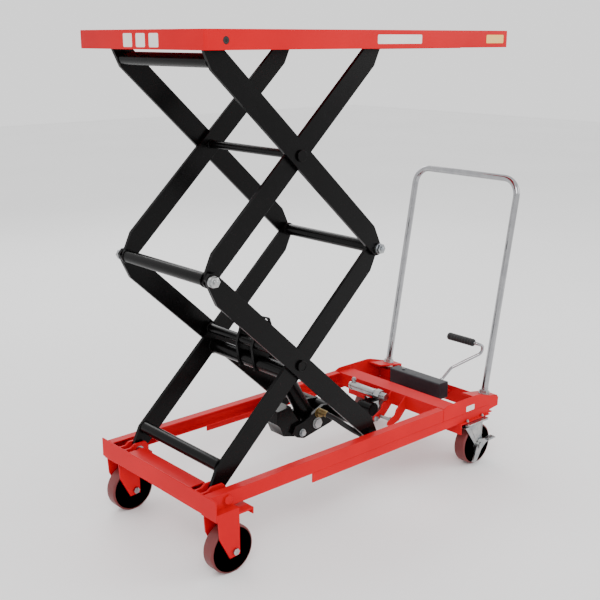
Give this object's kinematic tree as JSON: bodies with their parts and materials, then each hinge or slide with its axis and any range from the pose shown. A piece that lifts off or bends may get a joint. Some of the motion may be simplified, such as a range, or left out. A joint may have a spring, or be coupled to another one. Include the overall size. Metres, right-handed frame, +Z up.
{
  "type": "scissor lift table",
  "caption": "Wheeled scissor lift table: a red flat platform on a black double scissor over a red base frame with castors, a foot pump lever and a chrome push handle.",
  "frame": {"origin": "on the floor, under the centre of the raised table's overall box", "axes": "+Z up, +X towards the push handle, +Y to the left of someone facing along +X"},
  "size_m": [1.4375, 0.625, 1.525],
  "materials": {
    "red_paint": "glossy red powder coat",
    "black_paint": "glossy black paint",
    "zinc": "bright zinc plate",
    "chrome": "polished chrome plate",
    "rubber": "matt black rubber",
    "brass": "dull brass",
    "black_plastic": "satin black cover",
    "wheel_centre": "black moulded wheel centre",
    "tread": "maroon polyurethane tread"
  },
  "bodies": {
    "base": {"front_beam": "red_paint", "pivot_ears": "red_paint", "base_pivot_pins": "red_paint", "side_rails": "red_paint", "rear_side_plates": "red_paint", "cross_members": "red_paint", "front_forks": "red_paint", "front_axle_bolts": "zinc", "castor_mounts": "red_paint", "castor_plates": "zinc", "push_handle": "chrome", "handle_sockets": "red_paint", "handle_nuts": "zinc", "pump_barrel": "zinc", "pump_body": "black_paint", "pump_ribs": "red_paint", "pump_bolts": "zinc", "pump_cover": "black_plastic", "lever_bracket": "black_paint"},
    "lower_inner": {"lower_inner_arms": "black_paint", "lower_inner_tubes": "black_paint", "lower_centre_pins": "black_paint", "rear_joint_bolts": "zinc", "lever_plates": "black_paint"},
    "lower_outer": {"lower_outer_arms": "black_paint", "cylinder_bracket": "black_paint", "hydraulic_block": "black_paint", "bracket_bolts": "zinc", "lower_roller_pins": "zinc", "hydraulic_hose": "rubber", "hose_fittings": "brass"},
    "upper_inner": {"upper_inner_arms": "black_paint", "upper_inner_tubes": "black_paint", "front_joint_bolts": "zinc", "upper_roller_pins": "zinc"},
    "upper_outer": {"upper_outer_arms": "black_paint", "top_tube": "black_paint"},
    "platform": {"table_tray": "red_paint", "table_ears": "red_paint", "table_channels": "red_paint"},
    "cylinder": {"cylinder_barrel": "black_paint"},
    "ram_body": {"ram": "chrome"},
    "lever": {"foot_lever": "chrome", "foot_lever_grip": "rubber"},
    "lower_roller_left_body": {"lower_roller_left": "zinc"},
    "upper_roller_left_body": {"upper_roller_left": "zinc"},
    "front_left_wheel": {"front_left_tread": "tread", "front_left_wheel_centre": "wheel_centre"},
    "castor_left": {"castor_left_fork": "zinc"},
    "castor_left_wheel": {"castor_left_tread": "tread", "castor_left_wheel_centre": "wheel_centre"},
    "castor_left_brake": {"castor_left_brake_pedal": "zinc"},
    "lower_roller_right_body": {"lower_roller_right": "zinc"},
    "upper_roller_right_body": {"upper_roller_right": "zinc"},
    "front_right_wheel": {"front_right_tread": "tread", "front_right_wheel_centre": "wheel_centre"},
    "castor_right": {"castor_right_fork": "zinc"},
    "castor_right_wheel": {"castor_right_tread": "tread", "castor_right_wheel_centre": "wheel_centre"},
    "castor_right_brake": {"castor_right_brake_pedal": "zinc"}
  },
  "joints": [
    {"name": "lift", "type": "hinge", "parent": "base", "child": "lower_inner", "pos_m": [-0.6525, 0, 0.231], "axis": [0, -1, 0], "range_deg": [-37.7, 0]},
    {"name": "lower_cross", "type": "hinge", "parent": "lower_inner", "child": "lower_outer", "pos_m": [-0.32774, 0, 0.54682], "axis": [0, -1, 0], "range_deg": [-1, 76.4]},
    {"name": "front_knuckle", "type": "hinge", "parent": "lower_outer", "child": "upper_inner", "pos_m": [-0.6525, 0, 0.86263], "axis": [0, -1, 0], "range_deg": [-76.4, 1]},
    {"name": "upper_cross", "type": "hinge", "parent": "upper_inner", "child": "upper_outer", "pos_m": [-0.32774, 0, 1.17845], "axis": [0, -1, 0], "range_deg": [-1, 76.4]},
    {"name": "table_pivot", "type": "hinge", "parent": "upper_outer", "child": "platform", "pos_m": [-0.6525, 0, 1.49426], "axis": [0, -1, 0], "range_deg": [-38.7, 1]},
    {"name": "cylinder_foot", "type": "hinge", "parent": "lower_outer", "child": "cylinder", "pos_m": [-0.0925, 0, 0.242], "axis": [0, -1, 0], "range_deg": [-7, 1]},
    {"name": "ram_slide", "type": "slide", "parent": "cylinder", "child": "ram_body", "axis": [-0.5017, 0, 0.8651], "range_m": [-0.096, 0.001]},
    {"name": "lower_roller_left_spin", "type": "hinge", "parent": "lower_outer", "child": "lower_roller_left_body", "pos_m": [-0.00298, 0.2575, 0.231], "axis": [0, 1, 0], "continuous": true},
    {"name": "upper_roller_left_spin", "type": "hinge", "parent": "upper_inner", "child": "upper_roller_left_body", "pos_m": [-0.00298, 0.2575, 1.49426], "axis": [0, 1, 0], "continuous": true},
    {"name": "front_left_wheel_spin", "type": "hinge", "parent": "base", "child": "front_left_wheel", "pos_m": [-0.6465, 0.264, 0.075], "axis": [0, 1, 0], "continuous": true},
    {"name": "castor_left_swivel", "type": "hinge", "parent": "base", "child": "castor_left", "pos_m": [0.4645, 0.258, 0.15], "axis": [0, 0, 1], "continuous": true},
    {"name": "castor_left_wheel_spin", "type": "hinge", "parent": "castor_left", "child": "castor_left_wheel", "pos_m": [0.4825, 0.258, 0.075], "axis": [0, 1, 0], "continuous": true},
    {"name": "castor_left_brake_press", "type": "hinge", "parent": "castor_left", "child": "castor_left_brake", "pos_m": [0.4825, 0.258, 0.075], "axis": [0, 1, 0], "range_deg": [0, 14]},
    {"name": "lower_roller_right_spin", "type": "hinge", "parent": "lower_outer", "child": "lower_roller_right_body", "pos_m": [-0.00298, -0.2575, 0.231], "axis": [0, 1, 0], "continuous": true},
    {"name": "upper_roller_right_spin", "type": "hinge", "parent": "upper_inner", "child": "upper_roller_right_body", "pos_m": [-0.00298, -0.2575, 1.49426], "axis": [0, 1, 0], "continuous": true},
    {"name": "front_right_wheel_spin", "type": "hinge", "parent": "base", "child": "front_right_wheel", "pos_m": [-0.6465, -0.264, 0.075], "axis": [0, 1, 0], "continuous": true},
    {"name": "castor_right_swivel", "type": "hinge", "parent": "base", "child": "castor_right", "pos_m": [0.4645, -0.258, 0.15], "axis": [0, 0, 1], "continuous": true},
    {"name": "castor_right_wheel_spin", "type": "hinge", "parent": "castor_right", "child": "castor_right_wheel", "pos_m": [0.4825, -0.258, 0.075], "axis": [0, 1, 0], "continuous": true},
    {"name": "castor_right_brake_press", "type": "hinge", "parent": "castor_right", "child": "castor_right_brake", "pos_m": [0.4825, -0.258, 0.075], "axis": [0, 1, 0], "range_deg": [0, 14]},
    {"name": "foot_lever_press", "type": "hinge", "parent": "base", "child": "lever", "pos_m": [0.4525, -0.077, 0.246], "axis": [0, 1, 0], "range_deg": [0, 20], "stiffness_Nm_per_rad": 12, "springref_deg": -8.59}
  ],
  "couplings": [
    {"joint": "lower_cross", "follows": "lift", "ratio": -2},
    {"joint": "front_knuckle", "follows": "lift", "ratio": 2},
    {"joint": "upper_cross", "follows": "lift", "ratio": -2},
    {"joint": "table_pivot", "follows": "lift", "ratio": 1},
    {"joint": "cylinder_foot", "follows": "lift", "ratio": 0.1584},
    {"joint": "ram_slide", "follows": "lift", "m_per_rad": 0.14366}
  ]
}
